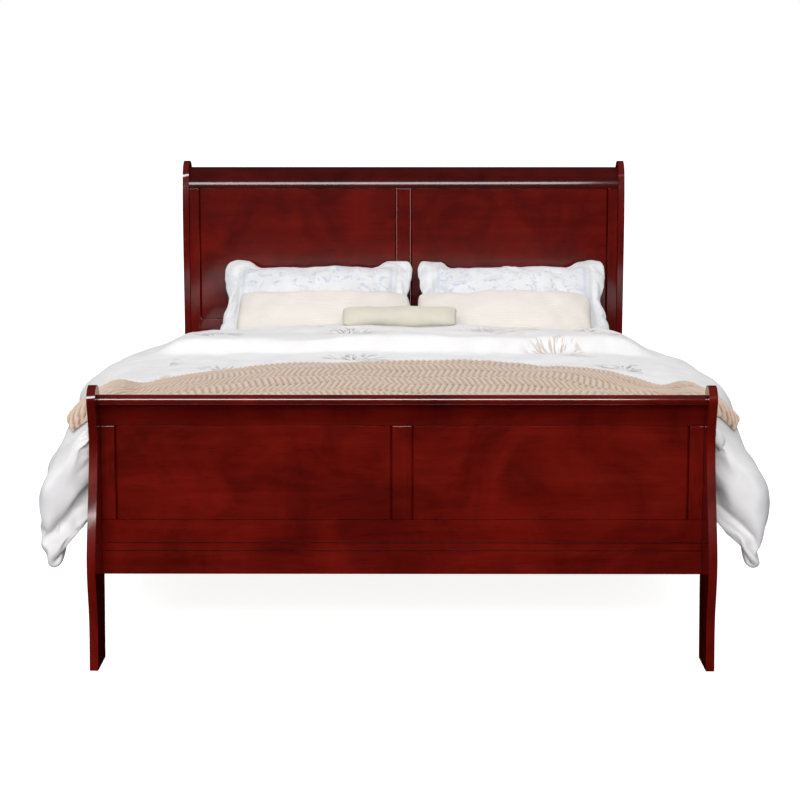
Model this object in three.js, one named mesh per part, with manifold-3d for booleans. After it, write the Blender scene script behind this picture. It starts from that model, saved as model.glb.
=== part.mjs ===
// Queen sleigh bed in the Louis Philippe style, with its bedding.
// Millimetres, +Z up, the floor at Z = 0, the foot end at -Y, and +X to the right seen from the foot.
import * as THREE from 'three';
import { mergeVertices } from 'three/addons/utils/BufferGeometryUtils.js';
import Module from 'manifold-3d';

const wasm = await Module();
wasm.setup();

// ---- Driving dimensions ----
const mattressWidth = 1524;
const mattressLength = 2032;
const mattressHeight = 190;
const foundationHeight = 125;
const headboardHeight = 1195;
const footboardHeight = 730;
const railBottom = 226; // underside of the side rails and of both end boards
const railHeight = 150;

// ---- Timber sizes ----
const postThickness = 22;
const boardThickness = 24; // end boards: crest roots, stiles, rails
const railLap = 2; // the side rails reach this far inside the posts' inner faces
const sideRailThickness = postThickness + railLap;
const panelThickness = 18;
const panelRecess = 3; // panel faces sit this far behind the stiles
const panelGrooveWidth = 4; // the groove down each upright edge of a panel's face
const panelGrooveDepth = 8;
const lowerRailDrop = 6; // the end boards' bottom rails end this far below the side rails' tops
const headMidRailHeight = 60;
const headPanelBottom = 622;
const stileWidth = 36;
const mullionWidth = 50;
const headCrestDrop = 97; // from the top of the headboard posts to the underside of the crest rail
const headCrestStep = 23; // from the top of the posts to the top of the crest rail
const footCrestDrop = 112;
const footCrestStep = 26;
const ledgerWidth = 20;
const ledgerHeight = 20;
const ledgerLift = 2; // ledger underside above the rail underside
const slatThickness = 19;
const slatWidth = 90;
const slatCount = 5;
const centreLegSize = 45;
const slatWithLeg = 2; // counted from 0 at the foot: the middle one

// ---- Inlaid bead of the footboard ----
const beadHeight = 18;
const beadDepth = 6;
const beadCentre = 299; // height above the floor
const beadGroove = 3; // open groove above and below the strip

// ---- Hardware ----
const bracketLeg = 45;
const bracketHeight = 110;
const bracketSteel = 3;
const bracketLift = 20; // bracket underside above the rail underside
const boltRadius = 4;
const boltHeadRadius = 8;
const boltHeadHeight = 4;
const boltLength = 21;
const glideRadius = 16;
const glidePadHeight = 8;
const glideStemRadius = 5;
const glideStemLength = 34;
const glideTravel = 15;

// ---- Clearances ----
const fit = 0.3; // between pieces that touch
const boreFit = 0.4; // around a bolt or a glide stem
const slatEndGap = 1;
const mattressSideGap = 14;
const mattressEndGap = 13;
const softGap = 1; // between soft pieces that rest on each other

// ---- Bedding sizes ----
const mattressCorner = 70;
const duvetThickness = 54;
const duvetCrown = 4; // how much the middle stands above the sides
const duvetOverhang = 245; // widest point of the duvet beyond the mattress edge
const duvetHem = 205; // lowest edge above the floor
const duvetFootGap = 26;
const duvetHeadShort = 615; // bare mattress between the duvet and the headboard
const duvetFoldLength = 370; // the head end is folded back on itself
const duvetFoldRise = 38;
const throwThickness = 9;
const throwHeadShort = 1148; // bare duvet between the throw and the headboard
const throwFootGap = 150;
const throwDrop = 95; // from the top of the duvet down to the throw's ends
const shamSize = { width: 680, height: 405, depth: 115 };
const pillowSize = { width: 600, height: 280, depth: 105 };
const lumbarSize = { width: 380, height: 130, depth: 70 };
const shamTilt = 33; // degrees from lying flat
const pillowTilt = 34;
const lumbarTilt = 25;
const shamBackGap = 16; // from the headboard to the back of the shams
const pillowBackGap = 345;
const lumbarBackGap = 622;
const pillowShift = 40; // the pillows lie this far to the right of the middle
const lumbarShift = -12;

// ---- Materials ----
const cherry = { color: 0x5e120c, roughness: 0.28, metalness: 0 };
const slatPine = { color: 0xc9a878, roughness: 0.75, metalness: 0 };
const zincSteel = { color: 0xb9bcc0, roughness: 0.4, metalness: 0.9 };
const blackPlastic = { color: 0x1a1a1a, roughness: 0.5, metalness: 0 };
const whiteCotton = { color: 0xf1efed, roughness: 0.9, metalness: 0 };
const toileCotton = { color: 0xe6e8ee, roughness: 0.9, metalness: 0 };
const creamCotton = { color: 0xe9e2d6, roughness: 0.9, metalness: 0 };
const sageLinen = { color: 0xcfc9b4, roughness: 0.95, metalness: 0 };
const tanKnit = { color: 0xc4ae93, roughness: 0.95, metalness: 0 };
const ticking = { color: 0xe4e2df, roughness: 0.85, metalness: 0 };

const bed = new THREE.Group();

function add(name, geometry, finish) {
  const mesh = new THREE.Mesh(geometry, new THREE.MeshStandardMaterial(finish));
  mesh.name = name;
  bed.add(mesh);
  return mesh;
}

// ---- Solids ----
function toSolid(geometry) {
  const bare = geometry.clone();
  bare.deleteAttribute('normal');
  bare.deleteAttribute('uv');
  const merged = mergeVertices(bare, 1e-4);
  const mesh = new wasm.Mesh({
    numProp: 3,
    vertProperties: new Float32Array(merged.attributes.position.array),
    triVerts: new Uint32Array(merged.index.array),
  });
  return new wasm.Manifold(mesh);
}

function toGeometry(solid) {
  const mesh = solid.getMesh();
  const geometry = new THREE.BufferGeometry();
  geometry.setAttribute('position', new THREE.BufferAttribute(new Float32Array(mesh.vertProperties), 3));
  geometry.setIndex(new THREE.BufferAttribute(new Uint32Array(mesh.triVerts), 1));
  geometry.computeVertexNormals();
  return geometry;
}

function cut(geometry, cutters) {
  let solid = toSolid(geometry);
  for (const cutter of cutters) solid = solid.subtract(toSolid(cutter));
  return toGeometry(solid);
}

// A box given by its lowest and highest corners.
function box(x0, x1, y0, y1, z0, z1) {
  const geometry = new THREE.BoxGeometry(x1 - x0, y1 - y0, z1 - z0);
  return geometry.translate((x0 + x1) / 2, (y0 + y1) / 2, (z0 + z1) / 2);
}

// A board with an outline in the Y-Z plane, reaching across from x0 to x1.
function alongX(outline, x0, x1) {
  const points = THREE.ShapeUtils.isClockWise(outline) ? [...outline].reverse() : outline;
  const options = { depth: x1 - x0, bevelEnabled: false };
  const geometry = new THREE.ExtrudeGeometry(new THREE.Shape(points), options);
  const turn = new THREE.Matrix4().set(0, 0, 1, x0, 1, 0, 0, 0, 0, 1, 0, 0, 0, 0, 0, 1);
  return geometry.applyMatrix4(turn);
}

// A solid with an outline in the X-Z plane, reaching from y0 to y1.
function alongY(outline, y0, y1) {
  const points = THREE.ShapeUtils.isClockWise(outline) ? [...outline].reverse() : outline;
  const options = { depth: y1 - y0, bevelEnabled: false };
  const geometry = new THREE.ExtrudeGeometry(new THREE.Shape(points), options);
  return geometry.rotateX(Math.PI / 2).translate(0, y1, 0);
}

function cylinder(radius, length, segments = 20) {
  return new THREE.CylinderGeometry(radius, radius, length, segments);
}

// ---- Curves in the Y-Z plane: d is the distance outwards from an end board's inner face ----
const at = (d, z) => new THREE.Vector2(d, z);

function smooth(points, steps = 28) {
  return new THREE.SplineCurve(points).getPoints(steps);
}

function arc(centreD, centreZ, radiusD, radiusZ, fromDegrees, toDegrees, steps = 12) {
  const from = THREE.MathUtils.degToRad(fromDegrees);
  const to = THREE.MathUtils.degToRad(toDegrees);
  const curve = new THREE.EllipseCurve(centreD, centreZ, radiusD, radiusZ, from, to, to < from);
  return curve.getPoints(steps);
}

// The d of an upright curve at the height z.
function distanceAt(curve, z) {
  for (let i = 1; i < curve.length; i += 1) {
    const low = curve[i - 1].y < curve[i].y ? curve[i - 1] : curve[i];
    const high = low === curve[i] ? curve[i - 1] : curve[i];
    if (z >= low.y && z <= high.y) {
      return THREE.MathUtils.lerp(low.x, high.x, (z - low.y) / (high.y - low.y));
    }
  }
  return curve[curve.length - 1].x;
}

// ---- Post profiles ----
// Footboard post: a leg, a belly at rail height, a waist, and a scroll that rolls away from the mattress.
const footScroll = { d: 62.5, z: footboardHeight - 37.5, radius: 37.5 };
const footOuterEdge = smooth([
  at(134, 0), at(127, 130), at(146, 285), at(100, 455),
  at(73, footScroll.z - 110), at(footScroll.d + footScroll.radius, footScroll.z),
]);
const footInnerEdge = smooth([
  at(14, 0), at(2, 190), at(0, 300), at(-5, 420), at(-12, footScroll.z - 120),
  at(footScroll.d - footScroll.radius, footScroll.z),
]);

// Headboard post: the same leg and belly, a long back and a larger scroll.
const headScroll = { d: 61, z: headboardHeight - 62, radius: 62 };
const headOuterEdge = smooth([
  at(118, 0), at(110, 130), at(128, 300), at(84, 620), at(80, headScroll.z - 190),
  at(94, headScroll.z - 90), at(headScroll.d + headScroll.radius, headScroll.z),
], 36);
const headInnerEdge = smooth([
  at(14, 0), at(2, 190), at(0, 300), at(-2, 420), at(-3, 640), at(-13, headScroll.z - 150),
  at(headScroll.d - headScroll.radius, headScroll.z),
], 36);

function postOutline(outer, inner, scroll) {
  const roll = arc(scroll.d, scroll.z, scroll.radius, scroll.radius, 0, 180, 20);
  return [...outer, ...roll.slice(1, -1), ...[...inner].reverse()];
}

const footPost = postOutline(footOuterEdge, footInnerEdge, footScroll);
const headPost = postOutline(headOuterEdge, headInnerEdge, headScroll);
const farthest = (outline) => Math.max(...outline.map((point) => point.x));

// ---- Layout ----
const clearLength = mattressLength + 2 * mattressEndGap;
const footInnerY = -(clearLength + farthest(headPost) - farthest(footPost)) / 2;
const headInnerY = footInnerY + clearLength;
const railInnerX = mattressWidth / 2 + mattressSideGap;
const frameHalfWidth = railInnerX + sideRailThickness;
const postInnerX = frameHalfWidth - postThickness;
const lowerRailHeight = railHeight - lowerRailDrop;
const boardHalfWidth = postInnerX - fit;

const foot = { y: footInnerY, sign: -1 };
const head = { y: headInnerY, sign: 1 };
const place = (end, outline) => outline.map((point) => at(end.y + end.sign * point.x, point.y));

// A box across an end board, from d0 to d1 behind or in front of its inner face.
function endBox(end, x0, x1, d0, d1, z0, z1) {
  const ya = end.y + end.sign * d0;
  const yb = end.y + end.sign * d1;
  return box(x0, x1, Math.min(ya, yb), Math.max(ya, yb), z0, z1);
}

function addPosts(prefix, end, outline) {
  for (const [side, x0] of [['left', -frameHalfWidth], ['right', postInnerX]]) {
    add(`${prefix}_post_${side}`, alongX(place(end, outline), x0, x0 + postThickness), cherry);
  }
}

// Two stiles, a mullion and two panels between the heights z0 and z1. The panels are recessed behind the face
// towards the mattress where showsInside is true, and behind the outer face where it is false.
function addPanelling(prefix, end, z0, z1, stileBottom, showsInside) {
  const edge = boardHalfWidth;
  const low = z0 + fit;
  const high = z1 - fit;
  const d0 = showsInside ? panelRecess : boardThickness - panelRecess - panelThickness;
  const panelStart = mullionWidth / 2 + fit;
  const panelEnd = edge - stileWidth - fit;
  const faceD = showsInside ? d0 : d0 + panelThickness;
  const grooveD = [faceD - panelGrooveDepth, faceD + panelGrooveDepth];
  for (const [side, sign] of [['left', -1], ['right', 1]]) {
    const across = (a, b) => (sign < 0 ? [-b, -a] : [a, b]);
    add(
      `${prefix}_stile_${side}`,
      endBox(end, ...across(edge - stileWidth, edge), 0, boardThickness, stileBottom + fit, high), cherry,
    );
    const panel = endBox(end, ...across(panelStart, panelEnd), d0, d0 + panelThickness, low, high);
    const grooves = [
      endBox(end, ...across(panelStart - 1, panelStart + panelGrooveWidth), ...grooveD, low - 1, high + 1),
      endBox(end, ...across(panelEnd - panelGrooveWidth, panelEnd + 1), ...grooveD, low - 1, high + 1),
    ];
    add(`${prefix}_panel_${side}`, cut(panel, grooves), cherry);
  }
  add(
    `${prefix}_mullion`,
    endBox(end, -mullionWidth / 2, mullionWidth / 2, 0, boardThickness, low, high), cherry,
  );
}

// ---- Bolts ----
// Pan-head bolt along +Y with the underside of its head at y = 0 and its shank towards -Y.
function boltGeometry() {
  const profile = [
    at(0, -boltLength), at(boltRadius, -boltLength), at(boltRadius, 0), at(boltHeadRadius, 0),
    at(boltHeadRadius * 0.9, boltHeadHeight * 0.6), at(boltHeadRadius * 0.55, boltHeadHeight),
    at(0, boltHeadHeight),
  ];
  return new THREE.LatheGeometry(profile, 16);
}

const boltHeight = railBottom + bracketLift + bracketHeight / 2;
const boltReach = bracketLeg * 0.6; // from the corner to a bolt's axis

// The corner brackets, one at each end of each side rail, and the drill holes they need.
const corners = [];
for (const [endName, end] of [['foot', foot], ['head', head]]) {
  for (const [side, sign] of [['left', -1], ['right', 1]]) {
    corners.push({
      name: `${endName}_${side}`,
      end,
      side,
      sign,
      cornerX: sign * (railInnerX - fit),
      cornerY: end.y - end.sign * fit,
    });
  }
}

function boltHole(corner, intoEnd) {
  const drill = cylinder(boltRadius + boreFit, 2 * boltLength + 2 * boltHeadHeight);
  if (intoEnd) {
    return drill.translate(corner.cornerX - corner.sign * boltReach, corner.cornerY, boltHeight);
  }
  drill.rotateZ(Math.PI / 2);
  return drill.translate(corner.cornerX, corner.cornerY - corner.end.sign * boltReach, boltHeight);
}

function addCorner(corner) {
  const x0 = corner.cornerX;
  const y0 = corner.cornerY;
  const inX = -corner.sign;
  const inY = -corner.end.sign;
  const outline = [
    at(x0, y0), at(x0 + inX * bracketLeg, y0), at(x0 + inX * bracketLeg, y0 + inY * bracketSteel),
    at(x0 + inX * bracketSteel, y0 + inY * bracketSteel), at(x0 + inX * bracketSteel, y0 + inY * bracketLeg),
    at(x0, y0 + inY * bracketLeg),
  ];
  const points = THREE.ShapeUtils.isClockWise(outline) ? outline.reverse() : outline;
  const options = { depth: bracketHeight, bevelEnabled: false };
  const angle = new THREE.ExtrudeGeometry(new THREE.Shape(points), options);
  angle.translate(0, 0, railBottom + bracketLift);
  const holes = [boltHole(corner, true), boltHole(corner, false)];
  add(`corner_bracket_${corner.name}`, cut(angle, holes), zincSteel);

  const headLift = bracketSteel + fit;
  const endBolt = boltGeometry();
  if (inY < 0) endBolt.rotateZ(Math.PI);
  endBolt.translate(x0 + inX * boltReach, y0 + inY * headLift, boltHeight);
  add(`end_bolt_${corner.name}`, endBolt, zincSteel);

  const railBolt = boltGeometry().rotateZ(inX > 0 ? -Math.PI / 2 : Math.PI / 2);
  railBolt.translate(x0 + inX * headLift, y0 + inY * boltReach, boltHeight);
  add(`rail_bolt_${corner.name}`, railBolt, zincSteel);
}

function endHoles(end) {
  return corners.filter((corner) => corner.end === end).map((corner) => boltHole(corner, true));
}

function railHoles(side) {
  return corners.filter((corner) => corner.side === side).map((corner) => boltHole(corner, false));
}

// ---- Headboard ----
// The crest rail in section: a lip, a long quarter roll up the front, a tight roll over the back, and a cove.
function headCrestOutline(bottom) {
  const front = -3;
  const top = headboardHeight - headCrestStep;
  const lip = 5;
  const frontRoll = 69; // depth of the front quarter roll
  const backRoll = { depth: 46, height: 48 };
  const cove = { d: front + frontRoll + 34, depth: 76, height: 22 };
  const rollD = front + frontRoll;
  return [
    at(front, bottom + fit), at(front, bottom + lip),
    ...arc(rollD, bottom + lip, frontRoll, top - bottom - lip, 180, 90, 14),
    ...arc(rollD, top - backRoll.height, backRoll.depth, backRoll.height, 90, -20, 12).slice(1),
    ...arc(cove.d, bottom, cove.depth, cove.height, 90, 180, 8),
    at(boardThickness, bottom + fit),
  ];
}

function addHeadboard() {
  addPosts('headboard', head, headPost);
  const panelTop = headboardHeight - headCrestDrop;
  const crest = place(head, headCrestOutline(panelTop));
  add('headboard_crest_rail', alongX(crest, -boardHalfWidth, boardHalfWidth), cherry);
  const lowerTop = railBottom + lowerRailHeight;
  const midBottom = headPanelBottom - headMidRailHeight;
  const inner = boardHalfWidth - stileWidth - fit;
  addPanelling('headboard', head, headPanelBottom, panelTop, lowerTop, true);
  add(
    'headboard_mid_rail',
    endBox(head, -inner, inner, 0, boardThickness, midBottom + fit, headPanelBottom), cherry,
  );
  add(
    'headboard_lower_panel',
    endBox(head, -inner, inner, panelRecess, panelRecess + panelThickness, lowerTop + fit, midBottom), cherry,
  );
  const lower = endBox(head, -boardHalfWidth, boardHalfWidth, 0, boardThickness, railBottom, lowerTop);
  add('headboard_bottom_rail', cut(lower, endHoles(head)), cherry);
}

// ---- Footboard ----
// The crest rail in section: a back slope, a roll over the top and front, and a deep cove down to the panels.
function footCrestOutline(bottom) {
  const roll = 14;
  const rollD = 54;
  const rollZ = footboardHeight - footCrestStep - roll;
  const coveTop = rollZ - 9;
  const backHeight = 38;
  return [
    at(0, bottom + fit), at(0, bottom + backHeight),
    ...arc(rollD, rollZ, roll, roll, 170, -38, 18),
    ...arc(rollD + 12, bottom + fit, rollD + 12 - boardThickness, coveTop - bottom - fit, 90, 180, 12),
  ];
}

function addFootboard() {
  const panelTop = footboardHeight - footCrestDrop;
  const lowerTop = railBottom + lowerRailHeight;
  addPosts('footboard', foot, footPost);
  const crest = place(foot, footCrestOutline(panelTop));
  add('footboard_crest_rail', alongX(crest, -boardHalfWidth, boardHalfWidth), cherry);
  addPanelling('footboard', foot, lowerTop, panelTop, lowerTop, false);

  const channelHalf = beadHeight / 2 + beadGroove;
  const lower = endBox(foot, -boardHalfWidth, boardHalfWidth, 0, boardThickness, railBottom, lowerTop);
  const channel = endBox(
    foot, -frameHalfWidth, frameHalfWidth, boardThickness - beadDepth, boardThickness + beadDepth,
    beadCentre - channelHalf, beadCentre + channelHalf,
  );
  add('footboard_bottom_rail', cut(lower, [channel, ...endHoles(foot)]), cherry);
  add(
    'footboard_bead',
    endBox(
      foot, -boardHalfWidth, boardHalfWidth, boardThickness - beadDepth + fit, boardThickness,
      beadCentre - beadHeight / 2, beadCentre + beadHeight / 2,
    ),
    cherry,
  );
}

// ---- Side rails, ledgers and slats ----
// A side rail's outline: its ends follow the posts' inner edges and stay clear of the end boards.
function railOutline() {
  const levels = 6;
  const endOf = (edge, z) => Math.min(distanceAt(edge, z), 0) - fit;
  const points = [];
  for (let i = 0; i <= levels; i += 1) {
    const z = railBottom + (railHeight * i) / levels;
    points.push(at(footInnerY - endOf(footInnerEdge, z), z));
  }
  for (let i = levels; i >= 0; i -= 1) {
    const z = railBottom + (railHeight * i) / levels;
    points.push(at(headInnerY + endOf(headInnerEdge, z), z));
  }
  return points;
}

const ledgerTop = railBottom + ledgerLift + ledgerHeight;
const ledgerInset = bracketLeg + 15;
const slatBottom = ledgerTop + fit;
const slatTop = slatBottom + slatThickness;

function addSideRails() {
  for (const [side, sign] of [['left', -1], ['right', 1]]) {
    const x0 = sign < 0 ? -frameHalfWidth : railInnerX;
    const rail = alongX(railOutline(), x0, x0 + sideRailThickness);
    add(`side_rail_${side}`, cut(rail, railHoles(side)), cherry);
    const inner = railInnerX - fit;
    const ledgerX = sign < 0 ? [-inner, -inner + ledgerWidth] : [inner - ledgerWidth, inner];
    const ledgerY = [footInnerY + ledgerInset, headInnerY - ledgerInset];
    add(`slat_ledger_${side}`, box(...ledgerX, ...ledgerY, ledgerTop - ledgerHeight, ledgerTop), slatPine);
  }
}

function addSlats() {
  const first = footInnerY + ledgerInset + slatWidth;
  const last = headInnerY - ledgerInset - slatWidth;
  for (let i = 0; i < slatCount; i += 1) {
    const y = first + ((last - first) * i) / (slatCount - 1);
    const half = railInnerX - slatEndGap;
    const slatY = [y - slatWidth / 2, y + slatWidth / 2];
    add(`slat_${i + 1}`, box(-half, half, ...slatY, slatBottom, slatTop), slatPine);
    if (i === slatWithLeg) addCentreLeg(y);
  }
}

// A square centre leg under a slat, with a screw glide in its foot.
function addCentreLeg(y) {
  const half = centreLegSize / 2;
  const boreDepth = glideStemLength + fit;
  const leg = box(-half, half, y - half, y + half, glidePadHeight + fit, slatBottom - fit);
  const bore = cylinder(glideStemRadius + boreFit, 2 * boreDepth).rotateX(Math.PI / 2);
  bore.translate(0, y, glidePadHeight + fit);
  add('centre_leg', cut(leg, [bore]), slatPine);
  const profile = [
    at(0, 0), at(glideRadius - 2, 0), at(glideRadius, 2), at(glideRadius, glidePadHeight),
    at(glideStemRadius, glidePadHeight), at(glideStemRadius, glidePadHeight + glideStemLength),
    at(0, glidePadHeight + glideStemLength),
  ];
  const glide = new THREE.LatheGeometry(profile, 20).rotateX(Math.PI / 2);
  add('levelling_glide', glide.translate(0, y, 0), blackPlastic);
}

// ---- Bedding ----
const bedCentreY = (footInnerY + headInnerY) / 2;
const foundationBottom = slatTop + softGap;
const mattressBottom = foundationBottom + foundationHeight + softGap;
const mattressTop = mattressBottom + mattressHeight;

// A block as wide and long as the mattress, with rounded upright corners.
function mattressBlock(z0, height) {
  const x = mattressWidth / 2;
  const y = mattressLength / 2;
  const corner = mattressCorner;
  const shape = new THREE.Shape();
  shape.absarc(x - corner, y - corner, corner, 0, Math.PI / 2);
  shape.absarc(-x + corner, y - corner, corner, Math.PI / 2, Math.PI);
  shape.absarc(-x + corner, -y + corner, corner, Math.PI, Math.PI * 1.5);
  shape.absarc(x - corner, -y + corner, corner, Math.PI * 1.5, Math.PI * 2);
  const options = { depth: height, bevelEnabled: false, curveSegments: 8 };
  return new THREE.ExtrudeGeometry(shape, options).translate(0, bedCentreY, z0);
}

// Half of the duvet's cross-section, from the middle of the bed out and down to its hem.
const duvetUnder = mattressTop + softGap;
const duvetTop = duvetUnder + duvetThickness;
const duvetReach = mattressWidth / 2 + duvetOverhang;
const duvetOuter = [
  at(0, duvetTop + duvetCrown), at(mattressWidth / 2 - 60, duvetTop + 2), at(duvetReach - 145, duvetTop - 22),
  at(duvetReach - 45, duvetTop - 66), at(duvetReach - 2, duvetTop - 130), at(duvetReach - 25, duvetTop - 230),
  at(duvetReach - 40, duvetHem + 90), at(duvetReach - 52, duvetHem),
];
const duvetInner = [
  at(0, duvetUnder + 1), at(mattressWidth / 4, duvetUnder + 1), at(mattressWidth / 2 + 12, duvetUnder + 1),
  at(frameHalfWidth + 60, duvetUnder - 34), at(duvetReach - 74, duvetTop - 150),
  at(duvetReach - 84, duvetTop - 230), at(duvetReach - 96, duvetHem + 90), at(duvetReach - 100, duvetHem),
];

// Mirrors a right-hand half curve to the left and joins both into one line.
function bothSides(half) {
  const left = [...half].reverse().map((point) => at(-point.x, point.y));
  return [...left.slice(0, -1), ...half];
}

function addDuvetAndThrow() {
  const outer = bothSides(smooth(duvetOuter, 22));
  const inner = bothSides(smooth(duvetInner, 22));
  const duvetFootY = footInnerY + duvetFootGap;
  const duvetHeadY = headInnerY - duvetHeadShort;
  const body = toSolid(alongY([...outer, ...inner.reverse()], duvetFootY, duvetHeadY));
  const foldHalf = mattressWidth / 2 - 20;
  const fold = [
    at(-foldHalf, duvetTop - 20), at(foldHalf, duvetTop - 20), at(foldHalf - 30, duvetTop + duvetFoldRise),
    at(30 - foldHalf, duvetTop + duvetFoldRise),
  ];
  const foldSolid = toSolid(alongY(fold, duvetHeadY - duvetFoldLength, duvetHeadY));
  add('duvet', toGeometry(body.add(foldSolid)), whiteCotton);

  const line = smooth(duvetOuter, 60).filter((point) => point.y > duvetTop - throwDrop);
  const lift = (distance) => line.map((point, i) => {
    const next = line[Math.min(i + 1, line.length - 1)];
    const last = line[Math.max(i - 1, 0)];
    const along = i === 0 ? at(1, 0) : next.clone().sub(last).normalize();
    return at(point.x - along.y * distance, point.y + along.x * distance);
  });
  const under = bothSides(lift(softGap + 1));
  const over = bothSides(lift(softGap + 1 + throwThickness));
  const throwFootY = footInnerY + throwFootGap;
  add('throw', alongY([...over, ...under.reverse()], throwFootY, headInnerY - throwHeadShort), tanKnit);
}

// A plump cushion: a ball squared off towards its corners, lying flat before it is tilted about X.
function cushion(size, tilt) {
  const geometry = new THREE.SphereGeometry(1, 24, 12);
  const position = geometry.attributes.position;
  const square = (value, power) => Math.sign(value) * Math.abs(value) ** power;
  for (let i = 0; i < position.count; i += 1) {
    position.setXYZ(
      i,
      square(position.getX(i), 0.55) * (size.width / 2),
      square(position.getY(i), 0.9) * (size.depth / 2),
      square(position.getZ(i), 0.55) * (size.height / 2),
    );
  }
  return geometry.rotateX(THREE.MathUtils.degToRad(-90 + tilt));
}

function addCushion(name, size, tilt, x, backY, restZ, finish) {
  const geometry = cushion(size, tilt);
  geometry.computeBoundingBox();
  const { min, max } = geometry.boundingBox;
  add(name, geometry.translate(x, backY - max.y, restZ - min.z), finish);
}

function addPillows() {
  const onMattress = mattressTop + softGap;
  const onFold = duvetTop + duvetFoldRise + softGap;
  const shamX = shamSize.width / 2 + 6;
  const pillowX = pillowSize.width / 2 + 8;
  for (const [side, sign] of [['left', -1], ['right', 1]]) {
    const shamMiddle = pillowShift + sign * shamX;
    const pillowMiddle = pillowShift + sign * pillowX;
    const shamBack = headInnerY - shamBackGap;
    addCushion(`sham_${side}`, shamSize, shamTilt, shamMiddle, shamBack, onMattress, toileCotton);
    const pillowBack = headInnerY - pillowBackGap;
    addCushion(`pillow_${side}`, pillowSize, pillowTilt, pillowMiddle, pillowBack, onMattress, creamCotton);
  }
  const lumbarBack = headInnerY - lumbarBackGap;
  addCushion('lumbar_pillow', lumbarSize, lumbarTilt, lumbarShift, lumbarBack, onFold, sageLinen);
}

addHeadboard();
addFootboard();
addSideRails();
addSlats();
corners.forEach(addCorner);
add('foundation', mattressBlock(foundationBottom, foundationHeight), ticking);
add('mattress', mattressBlock(mattressBottom, mattressHeight), ticking);
addDuvetAndThrow();
addPillows();

export default bed;
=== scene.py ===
import math

import bpy
import numpy as np
from mathutils import Matrix, Vector, noise
from mathutils.bvhtree import BVHTree


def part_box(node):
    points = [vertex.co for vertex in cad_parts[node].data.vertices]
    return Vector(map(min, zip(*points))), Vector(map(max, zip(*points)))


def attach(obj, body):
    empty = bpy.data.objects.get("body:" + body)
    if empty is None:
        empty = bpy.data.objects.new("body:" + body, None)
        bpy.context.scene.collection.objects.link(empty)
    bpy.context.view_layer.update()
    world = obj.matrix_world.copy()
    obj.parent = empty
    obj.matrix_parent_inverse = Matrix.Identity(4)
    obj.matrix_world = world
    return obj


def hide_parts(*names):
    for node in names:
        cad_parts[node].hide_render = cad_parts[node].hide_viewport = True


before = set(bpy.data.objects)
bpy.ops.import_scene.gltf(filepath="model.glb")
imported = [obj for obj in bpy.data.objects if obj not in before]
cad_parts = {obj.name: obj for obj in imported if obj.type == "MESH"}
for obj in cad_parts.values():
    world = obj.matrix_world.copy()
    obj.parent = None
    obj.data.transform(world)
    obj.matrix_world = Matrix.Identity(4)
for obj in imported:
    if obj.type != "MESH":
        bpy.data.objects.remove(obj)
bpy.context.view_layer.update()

BODY = "frame"
scene = bpy.context.scene

# ---- Places read from the frame ----
MATTRESS_LOW, MATTRESS_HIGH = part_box("mattress")
FOUNDATION_LOW, FOUNDATION_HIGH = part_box("foundation")
DUVET_LOW, DUVET_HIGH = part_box("duvet")
THROW_LOW, THROW_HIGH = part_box("throw")
FOOT_CREST_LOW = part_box("footboard_crest_rail")[0]
MATTRESS_TOP = MATTRESS_HIGH.z
HALF_MATTRESS = MATTRESS_HIGH.x
DUVET_REACH = DUVET_HIGH.x

# ---- Camera: standing height, in front of the footboard, tipped slightly down ----
CAMERA_LENS = 86.0
CAMERA_BACK = 4.80  # from the nose of the footboard's crest rail
CAMERA_SIDE = 0.0126
CAMERA_HEIGHT = 1.535
CAMERA_TIP = 7.55  # degrees down
CAMERA_TURN = 0.21  # degrees to the left
CAMERA_SHIFT = -0.1


# ======================================================================
# Small helpers
# ======================================================================
def smoothstep(x):
    x = np.clip(x, 0.0, 1.0)
    return x * x * (3 - 2 * x)


def waves(points, size, seed=0.0, octaves=3):
    """Smooth noise from about -1 to 1 at each point, with bumps about size metres across."""
    offset = Vector((seed * 7.3, seed * 3.1, seed * 5.7))
    flat = np.asarray(points, float).reshape(-1, 3) / size
    out = np.array([noise.fractal(Vector(p) + offset, 1.0, 2.0, octaves) for p in flat])
    return out.reshape(np.shape(points)[:-1])


def curve_through(controls, count):
    """count evenly spaced points along a Catmull-Rom curve through the control points."""
    pts = np.array(controls, float)
    ends = [2 * pts[0] - pts[1], *pts, 2 * pts[-1] - pts[-2]]
    fine = []
    for a, b, c, d in zip(ends, ends[1:], ends[2:], ends[3:]):
        for t in np.linspace(0, 1, 16, endpoint=False):
            fine.append(0.5 * (2 * b + (c - a) * t + (2 * a - 5 * b + 4 * c - d) * t**2
                               + (3 * b - a - 3 * c + d) * t**3))
    fine = np.array([*fine, pts[-1]])
    steps = np.linalg.norm(np.diff(fine, axis=0), axis=1)
    along = np.concatenate([[0], np.cumsum(steps)])
    at = np.linspace(0, along[-1], count)
    return np.stack([np.interp(at, along, fine[:, k]) for k in range(pts.shape[1])], axis=1)


def make_object(name, verts, faces, material, smooth=True):
    mesh = bpy.data.meshes.new(name)
    mesh.from_pydata([tuple(v) for v in verts], [], faces)
    mesh.update()
    made = bpy.data.objects.new(name, mesh)
    scene.collection.objects.link(made)
    mesh.materials.append(material)
    if smooth:
        mesh.polygons.foreach_set("use_smooth", [True] * len(mesh.polygons))
    return made


def coordinates(mesh):
    co = np.zeros(len(mesh.vertices) * 3, np.float32)
    mesh.vertices.foreach_get("co", co)
    return co.reshape(-1, 3).astype(float)


def set_coordinates(mesh, co):
    mesh.vertices.foreach_set("co", np.asarray(co, np.float32).ravel())
    mesh.update()


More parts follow.
